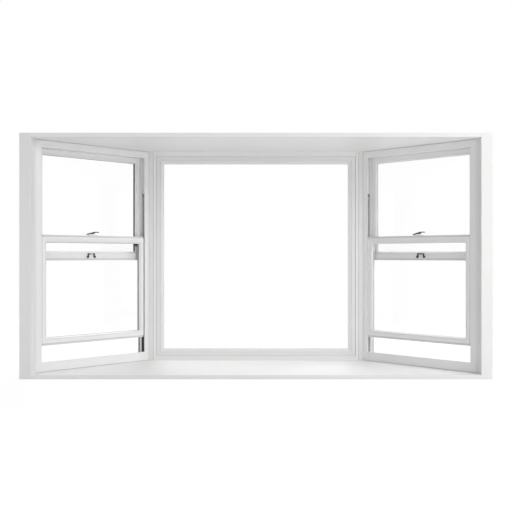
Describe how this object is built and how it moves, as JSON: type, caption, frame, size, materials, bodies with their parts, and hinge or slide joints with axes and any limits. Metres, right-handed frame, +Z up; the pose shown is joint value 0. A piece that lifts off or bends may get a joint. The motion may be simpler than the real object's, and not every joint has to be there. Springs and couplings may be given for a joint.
{
  "type": "bay window",
  "caption": "Three-sided bay window unit: a fixed middle window between two angled double-hung windows, held between a head board and a seat board.",
  "frame": {"origin": "middle of the footprint, on the underside of the seat board", "axes": "+X along the wall to the right as seen from the room, +Y out through the wall to the weather side, +Z up"},
  "size_m": [2.4384, 0.6742, 1.27],
  "materials": {
    "board_paint": "satin white paint on board",
    "frame_vinyl": "smooth white extrusion, low sheen",
    "sash_vinyl": "smooth white extrusion, low sheen",
    "clear_glass": "clear insulating glass",
    "spacer_bar": "satin",
    "weatherstrip": "matt pale grey",
    "track_liner": "matt",
    "lock_paint": "satin white",
    "lock_metal": "satin cast metal",
    "keeper_metal": "dark satin"
  },
  "bodies": {
    "root": {"seat_board": "board_paint", "head_board": "board_paint", "left_side_post": "board_paint", "left_filler_strip": "board_paint", "left_corner_post": "board_paint", "left_frame_head": "frame_vinyl", "left_frame_sill": "frame_vinyl", "left_frame_jambs": "frame_vinyl", "left_upper_stiles": "sash_vinyl", "left_upper_rails": "sash_vinyl", "left_lower_stiles": "sash_vinyl", "left_lower_rails": "sash_vinyl", "left_glazing_beads": "sash_vinyl", "left_glass": "clear_glass", "left_glass_spacers": "spacer_bar", "left_weatherstrips": "weatherstrip", "left_track_liners": "track_liner", "left_keeper": "keeper_metal", "left_lock_base": "lock_paint", "left_lock_lever": "lock_metal", "right_side_post": "board_paint", "right_filler_strip": "board_paint", "right_corner_post": "board_paint", "right_frame_head": "frame_vinyl", "right_frame_sill": "frame_vinyl", "right_frame_jambs": "frame_vinyl", "right_upper_stiles": "sash_vinyl", "right_upper_rails": "sash_vinyl", "right_lower_stiles": "sash_vinyl", "right_lower_rails": "sash_vinyl", "right_glazing_beads": "sash_vinyl", "right_glass": "clear_glass", "right_glass_spacers": "spacer_bar", "right_weatherstrips": "weatherstrip", "right_track_liners": "track_liner", "right_keeper": "keeper_metal", "right_lock_base": "lock_paint", "right_lock_lever": "lock_metal", "centre_frame_rails": "frame_vinyl", "centre_frame_jambs": "frame_vinyl", "centre_sash_stiles": "sash_vinyl", "centre_sash_rails": "sash_vinyl", "centre_glazing_bead": "sash_vinyl", "centre_glass": "clear_glass", "centre_glass_spacer": "spacer_bar"}
  },
  "joints": []
}
